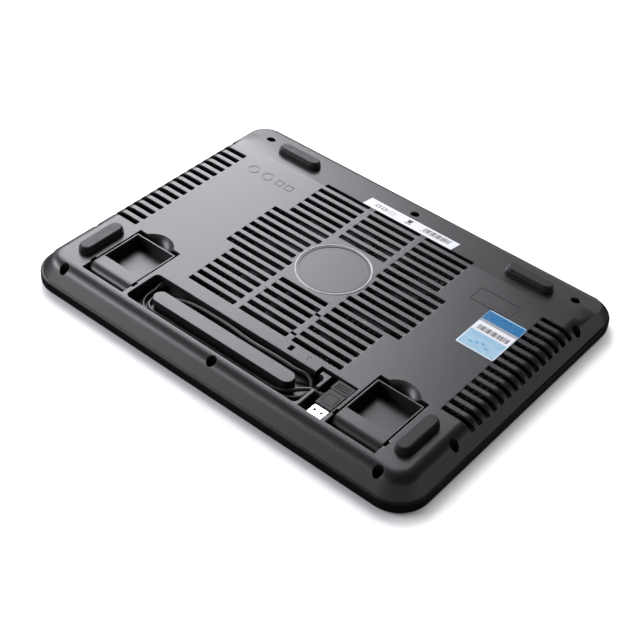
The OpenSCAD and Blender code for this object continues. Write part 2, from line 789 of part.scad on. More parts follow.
module rating_label() color([0.93, 0.93, 0.93]) translate([0, crease_y, pad_h]) rotate([-band_slope, 0, 0])
    box(rating_x, [rating_y[0] - crease_y, rating_y[1] - crease_y], [0, label_t]);

module barcode_label() color([0.62, 0.78, 0.86]) translate([0, 0, pad_h]) linear_extrude(label_t)
    rounded_rect(barcode_x, barcode_y, 2);

bottom_cover();
top_frame();
mesh_panel();
leg_left();
leg_right();
leg_pin_left();
leg_pin_right();
foot_rear_left();
foot_rear_right();
foot_front_left();
foot_front_right();
motor_base();
motor_bearing();
stator_core();
stator_coils();
motor_board();
fan_rotor();
rotor_magnet();
rotor_shaft();
fan_screws();
case_screws();
fan_lead();
strain_relief();
usb_cable();
usb_plug_body();
usb_plug_shell();
usb_plug_insert();
rating_label();
barcode_label();
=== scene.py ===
import math

import bmesh
import bpy
from mathutils import Matrix, Vector
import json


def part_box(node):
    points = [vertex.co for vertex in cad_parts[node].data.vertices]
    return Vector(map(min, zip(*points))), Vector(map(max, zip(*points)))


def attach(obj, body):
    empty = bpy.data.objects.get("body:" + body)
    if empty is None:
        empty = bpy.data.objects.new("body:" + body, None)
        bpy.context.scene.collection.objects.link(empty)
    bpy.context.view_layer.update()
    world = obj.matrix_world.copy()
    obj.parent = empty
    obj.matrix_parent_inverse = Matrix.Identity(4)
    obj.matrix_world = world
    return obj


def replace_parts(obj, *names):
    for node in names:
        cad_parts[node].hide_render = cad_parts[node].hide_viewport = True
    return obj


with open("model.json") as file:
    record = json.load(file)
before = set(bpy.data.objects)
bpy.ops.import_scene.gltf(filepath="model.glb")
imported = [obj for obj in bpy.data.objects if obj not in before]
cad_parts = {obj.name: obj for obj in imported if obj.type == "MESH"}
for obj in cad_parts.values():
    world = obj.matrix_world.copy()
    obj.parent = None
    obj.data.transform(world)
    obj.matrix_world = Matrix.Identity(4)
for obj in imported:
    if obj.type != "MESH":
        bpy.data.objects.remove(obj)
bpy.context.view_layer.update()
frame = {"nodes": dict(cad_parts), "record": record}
nodes = frame["nodes"]
body_of = {node: body for body, members in frame["record"]["behaviour"]["bodies"].items() for node in members}
MM = 0.001


# ---- Camera, which sees the pad from the near right at about 40 degrees ----

CAMERA_PLACE = Vector((0.46434, -0.61951, 0.66814))
CAMERA_LOOK = Vector((-0.44932, 0.59688, -0.66471))
CAMERA_ROLL = math.radians(4.224)
CAMERA_LENS_MM = 75.78


def make_camera():
    data = bpy.data.cameras.new("camera")
    data.lens = CAMERA_LENS_MM
    data.sensor_width = 36
    data.clip_start = 0.05
    data.clip_end = 50
    camera = bpy.data.objects.new("camera", data)
    bpy.context.scene.collection.objects.link(camera)
    look = CAMERA_LOOK.to_track_quat("-Z", "Y").to_matrix().to_4x4()
    camera.matrix_world = Matrix.Translation(CAMERA_PLACE) @ look @ Matrix.Rotation(CAMERA_ROLL, 4, "Z")
    bpy.context.scene.camera = camera


# ---- Materials ----


class Shader:
    """One material: a Principled shader, with short calls that add nodes to it."""

    def __init__(self, name, colour, roughness, metallic=0.0, specular=0.5):
        self.material = bpy.data.materials.new(name)
        self.material.use_nodes = True
        self.tree = self.material.node_tree
        self.shader = self.tree.nodes["Principled BSDF"]
        self.set("Base Color", (*colour, 1.0))
        self.set("Roughness", roughness)
        self.set("Metallic", metallic)
        self.set("Specular IOR Level", specular)
        self.position = self.add("ShaderNodeTexCoord").outputs["Object"]

    def input(self, socket):
        return self.shader.inputs[socket]

    def set(self, socket, value):
        self.input(socket).default_value = value

    def link(self, output, target):
        self.tree.links.new(output, target)

    def add(self, kind, **settings):
        node = self.tree.nodes.new(kind)
        for key, value in settings.items():
            setattr(node, key, value)
        return node

    def noise(self, size, detail=2.0, stretch=(1, 1, 1)):
        """Noise from 0 to 1 whose grains are about size metres across."""
        mapping = self.add("ShaderNodeMapping")
        self.link(self.position, mapping.inputs["Vector"])
        mapping.inputs["Scale"].default_value = stretch
        noise = self.add("ShaderNodeTexNoise")
        self.link(mapping.outputs["Vector"], noise.inputs["Vector"])
        noise.inputs["Scale"].default_value = 1 / size
        noise.inputs["Detail"].default_value = detail
        return noise.outputs["Fac"]

    def ramp(self, value, low, high, out_low, out_high):
        """Maps value from low..high to out_low..out_high and clamps it."""
        node = self.add("ShaderNodeMapRange")
        self.link(value, node.inputs["Value"])
        for name, number in zip(("From Min", "From Max", "To Min", "To Max"), (low, high, out_low, out_high)):
            node.inputs[name].default_value = number
        return node.outputs["Result"]

    def mix_colour(self, value, first, second):
        node = self.add("ShaderNodeMix", data_type="RGBA")
        self.link(value, node.inputs["Factor"])
        node.inputs["A"].default_value = (*first, 1.0)
        node.inputs["B"].default_value = (*second, 1.0)
        return node.outputs["Result"]

    def bump(self, value, distance):
        """Adds a bump of that distance in metres on top of the bumps before it."""
        node = self.add("ShaderNodeBump")
        node.inputs["Distance"].default_value = distance
        self.link(value, node.inputs["Height"])
        normal = self.shader.inputs["Normal"]
        if normal.links:
            self.link(normal.links[0].from_socket, node.inputs["Normal"])
        self.link(node.outputs["Normal"], normal)


def tone(colour, factor):
    return tuple(c * factor for c in colour)


def moulded_plastic(name, colour, roughness, grain=0.00045, depth=0.00002, cloud=0.12, specular=0.5):
    """Moulded plastic with a spark-eroded grain and slow changes of gloss and tone."""
    shader = Shader(name, colour, roughness, specular=specular)
    slow = shader.noise(0.055, 3.0)
    clouds = shader.mix_colour(slow, tone(colour, 1 - cloud), tone(colour, 1 + cloud))
    shader.link(clouds, shader.input("Base Color"))
    fine = shader.noise(grain * 1.6, 1.0)
    gloss = shader.ramp(fine, 0.3, 0.7, roughness * 0.92, roughness * 1.08)
    shader.link(gloss, shader.input("Roughness"))
    shader.bump(shader.noise(grain, 2.0), depth)
    return shader.material


def rubber_material():
    """Moulded rubber with a dusty bloom."""
    shader = Shader("rubber", (0.010, 0.010, 0.011), 0.5, specular=0.25)
    slow = shader.noise(0.006, 3.0)
    bloom = shader.mix_colour(slow, (0.007, 0.007, 0.008), (0.014, 0.014, 0.016))
    shader.link(bloom, shader.input("Base Color"))
    shader.link(shader.ramp(slow, 0.3, 0.7, 0.4, 0.52), shader.input("Roughness"))
    shader.bump(shader.noise(0.0006, 2.0), 0.00003)
    return shader.material


def metal_material(name, colour, roughness, stretch=(1, 1, 1)):
    """Plated or ground metal with fine streaks along the axis that stretch leaves long."""
    shader = Shader(name, colour, roughness, metallic=1.0)
    streaks = shader.noise(0.0004, 2.0, stretch)
    shader.link(shader.ramp(streaks, 0.3, 0.7, roughness * 0.8, roughness * 1.2), shader.input("Roughness"))
    shader.link(shader.mix_colour(shader.noise(0.004), tone(colour, 0.9), colour), shader.input("Base Color"))
    shader.bump(streaks, 0.000004)
    return shader.material


def turned_disc_material(centre):
    """Satin plastic with faint rings round the fan's centre."""
    shader = Shader("turned_disc", (0.02, 0.02, 0.022), 0.34)
    mapping = shader.add("ShaderNodeMapping")
    shader.link(shader.position, mapping.inputs["Vector"])
    mapping.inputs["Location"].default_value = (-centre[0], -centre[1], 0)
    rings = shader.add("ShaderNodeTexWave", wave_type="RINGS", rings_direction="Z")
    shader.link(mapping.outputs["Vector"], rings.inputs["Vector"])
    rings.inputs["Scale"].default_value = 320
    rings.inputs["Distortion"].default_value = 0.6
    shader.link(shader.ramp(rings.outputs["Fac"], 0, 1, 0.36, 0.42), shader.input("Roughness"))
    shader.bump(rings.outputs["Fac"], 0.000006)
    shader.link(shader.mix_colour(shader.noise(0.02, 3.0), (0.018, 0.018, 0.019), (0.028, 0.028, 0.030)),
                shader.input("Base Color"))
    return shader.material


def film_material(name, first, second, size=0.006, roughness=0.3):
    """Printed label film: two tones in soft clouds under a slightly uneven coat."""
    shader = Shader(name, first, roughness, specular=0.25)
    shader.link(shader.mix_colour(shader.noise(size, 3.0), first, second), shader.input("Base Color"))
    shader.link(shader.ramp(shader.noise(0.003), 0.3, 0.7, roughness * 0.85, roughness * 1.15),
                shader.input("Roughness"))
    shader.bump(shader.noise(0.002), 0.00001)
    return shader.material


# ---- Pieces ----


def give(obj, material):
    """Puts one material on every slot of an object."""
    if not obj.data.materials:
        obj.data.materials.append(material)
    for entry in obj.material_slots:
        entry.material = material


def place(obj, body, material):
    bpy.context.scene.collection.objects.link(obj)
    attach(obj, body)
    give(obj, material)
    return obj


# Two faces larger than this area, in square metres, keep a crisp crease from this angle up
LARGE_FLAT_AREA = 6e-4
LARGE_FLAT_CREASE_DEGREES = 3


def mark_sharp(work, angle):
    """Shades faces smooth, but keeps sharp turns and the creases between large flats crisp."""
    for face in work.faces:
        face.smooth = True
    for edge in work.edges:
        if len(edge.link_faces) != 2:
            edge.smooth = False
            continue
        large = min(face.calc_area() for face in edge.link_faces) > LARGE_FLAT_AREA
        limit = LARGE_FLAT_CREASE_DEGREES if large else angle
        edge.smooth = edge.calc_face_angle(0) < math.radians(limit)


def keep_flats_flat(obj):
    """Lets the larger faces set the normals, so that a bevel doesn't shade the flat beside it."""
    modifier = obj.modifiers.new("flats", "WEIGHTED_NORMAL")
    modifier.keep_sharp = True


def height_of(face):
    """The face's extent along Z."""
    heights = [v.co.z for v in face.verts]
    return max(heights) - min(heights)


EDGE_RADIUS = 0.35 * MM
OPENING_EDGE_ANGLE = math.radians(35)
OUTER_EDGE_ANGLE = math.radians(50)
# In the cover, no edge below the first height is rounded, nor one over a wall lower than the second
LOWEST_ROUNDED_EDGE = 12 * MM
LOWEST_ROUNDED_WALL = 0.7 * MM


def is_opening_edge(edge):
    """An edge where an upward face meets a wall that is steep and tall enough to round."""
    if len(edge.link_faces) != 2 or not edge.is_convex or edge.calc_face_angle(0) < OPENING_EDGE_ANGLE:
        return False
    if min(v.co.z for v in edge.verts) < LOWEST_ROUNDED_EDGE:
        return False
    upper, lower = sorted(edge.link_faces, key=lambda face: -face.normal.z)
    return upper.normal.z > 0.5 and lower.normal.z < 0.3 and height_of(lower) > LOWEST_ROUNDED_WALL


def is_outer_edge(edge):
    """A sharp convex edge between two faces."""
    return len(edge.link_faces) == 2 and edge.is_convex and edge.calc_face_angle(0) > OUTER_EDGE_ANGLE


WELD_DISTANCE = 0.002 * MM
FLAT_ANGLE = math.radians(0.6)


def welded(mesh):
    """The mesh with shared corners joined and flat areas in single faces."""
    work = bmesh.new()
    work.from_mesh(mesh)
    bmesh.ops.remove_doubles(work, verts=work.verts, dist=WELD_DISTANCE)
    bmesh.ops.dissolve_limit(work, angle_limit=FLAT_ANGLE, verts=work.verts, edges=work.edges)
    return work


def refined(node, name, material, round_edge=None, radius=0, angle=40):
    """Stands for a CAD node with its own shape, smooth-shaded, its chosen edges rounded."""
    work = welded(nodes[node].data)
    if round_edge:
        edges = [edge for edge in work.edges if round_edge(edge)]
        bmesh.ops.bevel(work, geom=edges, offset=radius, offset_type="OFFSET", segments=3, profile=0.5,
                        affect="EDGES", clamp_overlap=False)
    mark_sharp(work, angle)
    bmesh.ops.triangulate(work, faces=[face for face in work.faces if len(face.verts) > 4])
    mesh = bpy.data.meshes.new(name)
    work.to_mesh(mesh)
    work.free()
    obj = place(bpy.data.objects.new(name, mesh), body_of[node], material)
    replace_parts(obj, node)
    keep_flats_flat(obj)
    return obj


def from_faces(name, points, faces, body, material, angle=30):
    """A piece made of these faces, on a body, with its material and its slot."""
    mesh = bpy.data.meshes.new(name)
    mesh.from_pydata([tuple(p) for p in points], [], faces)
    mesh.validate()
    work = bmesh.new()
    work.from_mesh(mesh)
    mark_sharp(work, angle)
    work.to_mesh(mesh)
    work.free()
    return place(bpy.data.objects.new(name, mesh), body, material)


def revolved(name, profile, centre, turn, sides, body, material, angle=40):
    """A closed ring or disc: profile is (radius, height) pairs, turned about the local Z axis."""
    points = []
    for k in range(sides):
        a = 2 * math.pi * k / sides
        spoke = [Vector((r * math.cos(a), r * math.sin(a), h)) for r, h in profile]
        points += [turn @ point + Vector(centre) for point in spoke]
    count = len(profile)
    faces = []
    for k in range(sides):
        for i in range(count):
            here, there = k * count, (k + 1) % sides * count
            faces.append((here + i, there + i, there + (i + 1) % count, here + (i + 1) % count))
    return from_faces(name, points, faces, body, material, angle)


# ---- The USB cable ----

CABLE_DIAMETER = 3 * MM
CABLE_STEP = 1.5 * MM
CABLE_POINTS_MM = [
    (-86, -90, 17), (-86.2, -95, 16.4), (-86.3, -100, 15.9), (-84.5, -106, 15.6),
    (-79, -111.2, 15.6), (-71, -113.8, 15.6), (-56, -114.3, 15.6), (-38, -113.7, 15.6),
    (-20, -114.2, 15.6), (-2, -113.8, 15.6), (16, -114.2, 15.6), (34, -114, 15.6),
    (48, -113.2, 15.6), (58, -109.8, 15.6), (64.8, -103.5, 15.8), (66, -96, 16.8),
    (62.2, -89.8, 18.6), (56, -87.6, 20), (47.6, -89, 20.6), (37, -88.8, 20.8),
    (25, -88.9, 20.8), (12, -89.3, 20.6), (0, -88.8, 20.4), (-14, -87.4, 20.2),
    (-28, -87, 20), (-41, -86.8, 19.6), (-54, -87.8, 18.8), (-65, -90.2, 17.4),
    (-73.5, -92.2, 16), (-79.4, -95.6, 15.6), (-81, -101, 15.6),
    (-79, -106.4, 15.6), (-72, -109.8, 15.6), (-58, -109.6, 15.6), (-40, -110, 15.6),
    (-20, -109.6, 15.6), (0, -110, 15.6), (18, -109.8, 15.6), (34, -109.8, 15.8),
    (46, -109.9, 16.4), (54.5, -107.2, 17.6), (61, -101.5, 19.3), (67.5, -97.2, 20.4),
    (74.4, -96.5, 20.5),
]


def curve_at(points, i, t):
    """A smooth curve through points: the position between point i and the next, at t."""
    a = points[max(i - 1, 0)]
    b = points[i]
    c = points[i + 1]
    d = points[min(i + 2, len(points) - 1)]
    return 0.5 * (2 * b + (c - a) * t + (2 * a - 5 * b + 4 * c - d) * t ** 2
                  + (3 * b - a - 3 * c + d) * t ** 3)


def along(points, step):
    """Points along that curve, about one every step."""
    found = []
    for i in range(len(points) - 1):
        count = max(1, round((points[i + 1] - points[i]).length / step))
        found += [curve_at(points, i, j / count) for j in range(count)]
    return found + [points[-1]]


def tube(name, points, diameter):
    """A round tube along points, with closed ends."""
    data = bpy.data.curves.new(name, "CURVE")
    data.dimensions = "3D"
    data.bevel_depth = diameter / 2
    data.bevel_resolution = 6
    data.use_fill_caps = True
    spline = data.splines.new("POLY")
    spline.points.add(len(points) - 1)
    for target, point in zip(spline.points, points):
        target.co = (*point, 1)
    guide = bpy.data.objects.new("guide", data)
    mesh = bpy.data.meshes.new_from_object(guide)
    bpy.data.objects.remove(guide)
    mesh.name = name
    mesh.shade_smooth()
    return bpy.data.objects.new(name, mesh)


def make_cable(material):
    points = along([Vector(p) * MM for p in CABLE_POINTS_MM], CABLE_STEP)
    cable = place(tube("cable", points, CABLE_DIAMETER), "housing", material)
    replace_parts(cable, "usb_cable")


# ---- Grommet and plug ----

GROMMET_RIBS = 4
GROMMET_LENGTH = 6 * MM
CONTACTS_X_MM = (-3.5, -1.0, 1.0, 3.5)


def make_grommet(material):
    """The tapered strain relief, with ribs round its free length."""
    exit_at = Vector(CABLE_POINTS_MM[0]) * MM
    bore = CABLE_DIAMETER / 2
    profile = [(bore, 0), (2.0 * MM, 0)]
    for i in range(GROMMET_RIBS):
        low = (0.5 + 1.3 * i) * MM
        r = (2.0 + 0.12 * i) * MM
        crest = r + 0.3 * MM
        profile += [(r, low), (crest, low + 0.2 * MM), (crest, low + 0.7 * MM), (r, low + 0.9 * MM)]
    profile += [(2.5 * MM, GROMMET_LENGTH), (bore, GROMMET_LENGTH)]
    turn = Matrix.Rotation(math.radians(-90), 3, "X")
    return revolved("cable_grommet", profile, (exit_at.x, exit_at.y, exit_at.z + 0.2 * MM), turn, 32,
                    "housing", material)


def rounded_frame(low, high, z, line, height, name, body, material):
    """A thin raised outline with cut corners, on a level face."""
    def ring(inset, at):
        x0, y0, x1, y1 = low[0] + inset, low[1] + inset, high[0] - inset, high[1] - inset
        cut = max(0.9 * MM - inset, 0.3 * MM)
        return [(x0 + cut, y0, at), (x1 - cut, y0, at), (x1, y0 + cut, at), (x1, y1 - cut, at),
                (x1 - cut, y1, at), (x0 + cut, y1, at), (x0, y1 - cut, at), (x0, y0 + cut, at)]
    points = ring(0, z) + ring(line * 0.25, z + height) + ring(line * 0.75, z + height) + ring(line, z)
    faces = []
    for band in range(3):
        for i in range(8):
            j = (i + 1) % 8
            faces.append((band * 8 + i, band * 8 + j, band * 8 + 8 + j, band * 8 + 8 + i))
    return from_faces(name, points, faces, body, material)


def make_plug(plastic, metal, white, gold):
    grip = refined("usb_plug_body", "plug_grip", plastic, is_outer_edge, EDGE_RADIUS)
    shell = refined("usb_plug_shell", "plug_shell", metal, is_outer_edge, 0.1 * MM)
    tongue = refined("usb_plug_insert", "plug_tongue", white, is_outer_edge, 0.08 * MM)
    low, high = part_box("usb_plug_body")
    shell_low, shell_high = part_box("usb_plug_shell")
    front_top = high[2] - 0.4 * MM
    outline_low = (shell_low[0] + 1 * MM, low[1] + 3 * MM)
    outline_high = (shell_high[0] - 1 * MM, low[1] + 13 * MM)
    outline = rounded_frame(outline_low, outline_high, front_top, 0.7 * MM, 0.25 * MM,
                            "plug_outline", "housing", plastic)
    tongue_low, tongue_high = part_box("usb_plug_insert")
    top = tongue_low[2] + 1.7 * MM
    points, faces = [], []
    for x in CONTACTS_X_MM:
        middle = (tongue_low[0] + tongue_high[0]) / 2 + x * MM
        add_box(points, faces, (middle - 0.5 * MM, tongue_low[1] + 0.6 * MM, top - 0.05 * MM),
                (middle + 0.5 * MM, tongue_low[1] + 7.5 * MM, top + 0.06 * MM))
    contacts = from_faces("plug_contacts", points, faces, "housing", gold)
    return [grip, shell, tongue, outline, contacts]


def add_box(points, faces, low, high):
    """Adds a box to lists of points and faces."""
    first = len(points)
    points += [(x, y, z) for z in (low[2], high[2]) for y in (low[1], high[1]) for x in (low[0], high[0])]
    faces += [tuple(first + i for i in face) for face in
              ((0, 2, 3, 1), (4, 5, 7, 6), (0, 1, 5, 4), (2, 6, 7, 3), (0, 4, 6, 2), (1, 3, 7, 5))]


# ---- Perforated sheet on the laptop side ----

HOLE_PITCH = 5 * MM
HOLE_ACROSS = 3.7 * MM
SHEET_MARGIN = 7 * MM
# How far the margin strips stand out from the holed area, so that their faces never share a plane
MARGIN_LIFT = 0.02 * MM


def make_grille(material):
    """Sheet steel with hexagonal holes in staggered rows and a plain margin."""
    low, high = (Vector(corner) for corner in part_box("mesh_panel"))
    row_step = HOLE_PITCH * math.sqrt(3) / 2
    half_x = (high.x - low.x) / 2 - SHEET_MARGIN
    half_y = (high.y - low.y) / 2 - SHEET_MARGIN
    mid = (low + high) / 2
    columns = int(half_x / HOLE_PITCH)
    rows = int(half_y / row_step)
    corners = [(math.sin(math.radians(60 * k)), math.cos(math.radians(60 * k))) for k in range(6)]
    outer = HOLE_PITCH / math.sqrt(3)
    inner = HOLE_ACROSS / math.sqrt(3)
    points, faces = [], []
    for row in range(-rows, rows + 1):
        shift = HOLE_PITCH / 2 if row % 2 else 0
        for column in range(-columns, columns):
            x = mid.x + column * HOLE_PITCH + shift
            y = mid.y + row * row_step
            first = len(points)
            for radius, z in ((outer, high.z), (inner, high.z), (inner, low.z), (outer, low.z)):
                points += [(x + radius * cx, y + radius * cy, z) for cx, cy in corners]
            for band in range(3):
                for k in range(6):
                    n = (k + 1) % 6
                    start = first + band * 6
                    faces.append((start + n, start + k, start + 6 + k, start + 6 + n))
    x_in, y_in = half_x - HOLE_PITCH, half_y - HOLE_PITCH
    for x0, x1, y0, y1 in ((low.x, mid.x - x_in, low.y, high.y), (mid.x + x_in, high.x, low.y, high.y),
                           (mid.x - x_in, mid.x + x_in, low.y, mid.y - y_in),
                           (mid.x - x_in, mid.x + x_in, mid.y + y_in, high.y)):
        add_box(points, faces, (x0, y0, low.z - MARGIN_LIFT), (x1, y1, high.z + MARGIN_LIFT))
    grille = from_faces("grille", points, faces, "housing", material)
    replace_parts(grille, "mesh_panel")


# ---- Ring and disc over the fan ----


FAN_CENTRE = (0, 10 * MM, 0)
BEAD_RING_RADIUS = 29 * MM
BEAD_RADIUS = 0.86 * MM
# The disc's top and the bead's centre lie this far below the face that holds the barcode label
HUB_DEPTH = 0.32 * MM
DISC_THICKNESS = 0.3 * MM


def make_ring(bead_material, disc_material):
    """The bead round the fan's place, coloured pale as a painted highlight, and the disc inside it."""
    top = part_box("barcode_label")[0][2] - HUB_DEPTH
    bead = []
    for k in range(12):
        a = math.radians(30 * k)
        bead.append((BEAD_RING_RADIUS + BEAD_RADIUS * math.cos(a), top + BEAD_RADIUS * math.sin(a)))
    revolved("ring_bead", bead, FAN_CENTRE, Matrix.Identity(3), 160,
             "housing", bead_material, 60)
    low = top - DISC_THICKNESS
    disc = [(0.1 * MM, top), (26.3 * MM, top), (26.8 * MM, low), (0.1 * MM, low)]
    revolved("hub_disc", disc, FAN_CENTRE, Matrix.Identity(3), 128,
             "housing", disc_material, 20)


# ---- Labels, with plain bars and outlines for print ----

PRINT_LIFT = 0.02 * MM


class LabelFace:
    """A flat label: u runs along X and w across it, in millimetres from its low corner.

    A level label lies flat, and its print goes on its top. A sloping one takes the tilt of its top face.
    """

    def __init__(self, node, level):
        low, high = (Vector(corner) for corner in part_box(node))
        self.origin = low.copy()
        self.across = Vector((0, 1, 0))
        self.normal = Vector((0, 0, 1))
        if level:
            self.origin.z = high.z
        else:
            mesh = nodes[node].data
            top = max(mesh.polygons, key=lambda face: face.area * (face.normal.z > 0))
            self.normal = top.normal.copy()
            self.across = self.normal.cross(Vector((1, 0, 0))).normalized()
            self.origin = min((mesh.vertices[i].co for face in mesh.polygons for i in face.vertices
                               if face.normal.dot(self.normal) > 0.99), key=lambda p: p.x + p.y).copy()

    def at(self, u, w):
        return self.origin + Vector((1, 0, 0)) * u * MM + self.across * w * MM + self.normal * PRINT_LIFT

    def patches(self, name, rects, material, lift=0):
        """Flat printed patches: rects are (u0, w0, u1, w1)."""
        points, faces = [], []
        for u0, w0, u1, w1 in rects:
            first = len(points)
            corners = ((u0, w0), (u1, w0), (u1, w1), (u0, w1))
            points += [self.at(u, w) + self.normal * lift for u, w in corners]
            faces.append((first, first + 1, first + 2, first + 3))
        return from_faces(name, points, faces, "housing", material)


def bars(start, end, low, high):
    """Bar rectangles of uneven width between start and end."""
    found = []
    u = start
    step = 0
    while u < end - 0.6:
        width = (0.35, 0.7, 0.35, 1.05, 0.5)[step * 7 % 5]
        gap = (0.35, 0.5, 0.7, 0.35)[step * 3 % 4]
        found.append((u, low, min(u + width, end), high))
        u += width + gap
        step += 1
    return found


def square_outline(u, w, size, line):
    """The four sides of a square outline, as rectangles."""
    return [(u, w, u + size, w + line), (u, w + size - line, u + size, w + size),
            (u, w + line, u + line, w + size - line), (u + size - line, w + line, u + size, w + size - line)]


def make_labels():
    ink = film_material("ink", (0.03, 0.03, 0.035), (0.05, 0.05, 0.055))
    pale_ink = film_material("pale_ink", (0.35, 0.36, 0.38), (0.42, 0.43, 0.45))
    white = film_material("white_film", (0.80, 0.80, 0.82), (0.86, 0.86, 0.88))
    blue = film_material("blue_film", (0.015, 0.145, 0.34), (0.028, 0.19, 0.42))
    pale_blue = film_material("pale_blue_film", (0.26, 0.45, 0.62), (0.46, 0.66, 0.78), 0.005)
    grey = film_material("grey_film", (0.30, 0.33, 0.36), (0.38, 0.41, 0.44))
    give(nodes["rating_label"], white)
    give(nodes["barcode_label"], pale_blue)

    rating = LabelFace("rating_label", level=False)
    rating.patches("rating_bars", bars(56, 81, 4.6, 11.0), ink)
    dashes = [(54 + 3.2 * i, 3.4, 56.4 + 3.2 * i, 4.0) for i in range(7)]
    lines = [(20, 4 + 1.6 * i, 30 - 2 * (i % 2), 4.5 + 1.6 * i) for i in range(4)]
    rating.patches("rating_lines", dashes + lines, pale_ink)
    icons = square_outline(9, 4.6, 4.4, 0.9) + square_outline(15, 4.6, 4.4, 0.9)
    icons += [(39, 3.6, 45, 4.6), (40.2, 5.6, 43.8, 9.6), (39.4, 9.6, 44.6, 10.6)]
    rating.patches("rating_icons", icons, ink)

    code = LabelFace("barcode_label", level=True)
    low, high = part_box("barcode_label")
    width = (high[0] - low[0]) / MM
    length = (high[1] - low[1]) / MM
    inset = 0.3
    band = (inset, length - 11.5, width - inset, length - 1.2)
    stripe = (inset, length - 14.5, width - inset, length - 11.5)
    strip = (inset, length - 25.5, width - inset, length - 14.5)
    code.patches("code_band", [band], blue)
    code.patches("code_stripe", [stripe], grey)
    code.patches("code_strip", [strip], white)
    code_bars = bars(3.5, width - 3, length - 23.5, length - 18.2)
    code.patches("code_bars", code_bars, ink, PRINT_LIFT)
    thin = [(4, length - 28 - 1.5 * i, width - 5 - 3 * i, length - 27.6 - 1.5 * i) for i in range(2)]
    thin += [(7 + 4.5 * i, 6.0 + (i % 3) * 1.5, 10 + 4.5 * i, 8.2 + (i % 3) * 1.5) for i in range(4)]
    code.patches("code_lines", thin, film_material("mid_blue_ink", (0.14, 0.38, 0.60), (0.18, 0.44, 0.66)))
    edge = [(inset, inset, width - inset, 1.1), (inset, 1.1, 1.0, length - 25.5),
            (width - 1.0, 1.1, width - inset, length - 25.5)]
    code.patches("code_edge", edge, white)


# ---- Studio ----

FLOOR_HALF = 6
# The box round the pad without glow, which paints its contact shadow: the move that centres it, then its half
# sizes
PAINTED_SHADOW_BOX_SHIFT = (-3 * MM, 6 * MM, 0)
PAINTED_SHADOW_BOX_HALF = (150 * MM, 108 * MM, 0)
# The glow starts this far outside that box, and is full at the second distance; the painted shadow fades
# between them
GLOW_STARTS = 22 * MM
GLOW_FULL = 40 * MM
FLOOR_GLOW = 0.75
# Brightness of the surroundings at each height: the sine of the elevation, then the radiance
SURROUNDINGS = ((-1.0, 0.03), (-0.05, 0.05), (0.02, 1.2), (0.22, 1.0), (0.42, 0.12), (0.7, 0.03), (1.0, 0.03))
LIGHT_COLOUR = (0.945, 0.95, 1.0)


def make_floor():
    """A pale table that glows softly, except in a box round the pad, where the missing glow is a painted
    shadow.
    """
    half = FLOOR_HALF
    corners = [(-half, -half, 0), (half, -half, 0), (half, half, 0), (-half, half, 0)]
    mesh = bpy.data.meshes.new("floor")
    mesh.from_pydata(corners, [], [(0, 1, 2, 3)])
    floor = bpy.data.objects.new("floor", mesh)
    bpy.context.scene.collection.objects.link(floor)
    floor.location.z = -0.2 * MM
    shader = Shader("floor", (0.82, 0.82, 0.83), 0.9, specular=0.05)
    shader.set("Emission Color", (1, 1, 1, 1))
    edge = shader.add("ShaderNodeVectorMath", operation="ABSOLUTE")
    shift = shader.add("ShaderNodeVectorMath", operation="ADD")
    shift.inputs[1].default_value = PAINTED_SHADOW_BOX_SHIFT
    shader.link(shader.position, shift.inputs[0])
    shader.link(shift.outputs["Vector"], edge.inputs[0])
    past = shader.add("ShaderNodeVectorMath", operation="SUBTRACT")
    past.inputs[1].default_value = PAINTED_SHADOW_BOX_HALF
    shader.link(edge.outputs["Vector"], past.inputs[0])
    outside = shader.add("ShaderNodeVectorMath", operation="MAXIMUM")
    outside.inputs[1].default_value = (0, 0, 0)
    shader.link(past.outputs["Vector"], outside.inputs[0])
    distance = shader.add("ShaderNodeVectorMath", operation="LENGTH")
    shader.link(outside.outputs["Vector"], distance.inputs[0])
    # Painted shadow: no glow near the pad, ramping up outside the box
    glow = shader.ramp(distance.outputs["Value"], GLOW_STARTS, GLOW_FULL, 0.0, FLOOR_GLOW)
    shader.link(glow, shader.input("Emission Strength"))
    give(floor, shader.material)
    floor.visible_glossy = False
    floor.visible_diffuse = False


def add_light(name, place_at, aim, size, radiance):
    """A soft rectangular light of that radiance."""
    data = bpy.data.lights.new(name, "AREA")
    data.shape = "RECTANGLE"
    data.size, data.size_y = size
    data.energy = radiance * math.pi * size[0] * size[1]
    data.color = LIGHT_COLOUR
    light = bpy.data.objects.new(name, data)
    bpy.context.scene.collection.objects.link(light)
    light.location = place_at
    light.rotation_euler = (Vector(aim) - Vector(place_at)).to_track_quat("-Z", "Y").to_euler()


def make_surroundings():
    """A studio that is bright at table height and dark overhead."""
    world = bpy.data.worlds.new("studio")
    world.use_nodes = True
    tree = world.node_tree
    coordinates = tree.nodes.new("ShaderNodeTexCoord")
    axes = tree.nodes.new("ShaderNodeSeparateXYZ")
    curve = tree.nodes.new("ShaderNodeFloatCurve")
    scale = tree.nodes.new("ShaderNodeMapRange")
    brightest = max(value for height, value in SURROUNDINGS)
    points = curve.mapping.curves[0].points
    for index, (height, value) in enumerate(SURROUNDINGS):
        spot = ((height + 1) / 2, value / brightest)
        if index < 2:
            points[index].location = spot
        else:
            points.new(*spot)
    for point in points:
        point.handle_type = "VECTOR"
    curve.mapping.update()
    tree.links.new(coordinates.outputs["Generated"], axes.inputs[0])
    tree.links.new(axes.outputs["Z"], scale.inputs["Value"])
    scale.inputs["From Min"].default_value = -1
    tree.links.new(scale.outputs["Result"], curve.inputs["Value"])
    level = tree.nodes.new("ShaderNodeMath")
    level.operation = "MULTIPLY"
    level.inputs[1].default_value = brightest
    tree.links.new(curve.outputs["Value"], level.inputs[0])
    tree.links.new(level.outputs["Value"], tree.nodes["Background"].inputs["Strength"])
    tree.nodes["Background"].inputs["Color"].default_value = (0.97, 0.98, 1.0, 1)
    bpy.context.scene.world = world


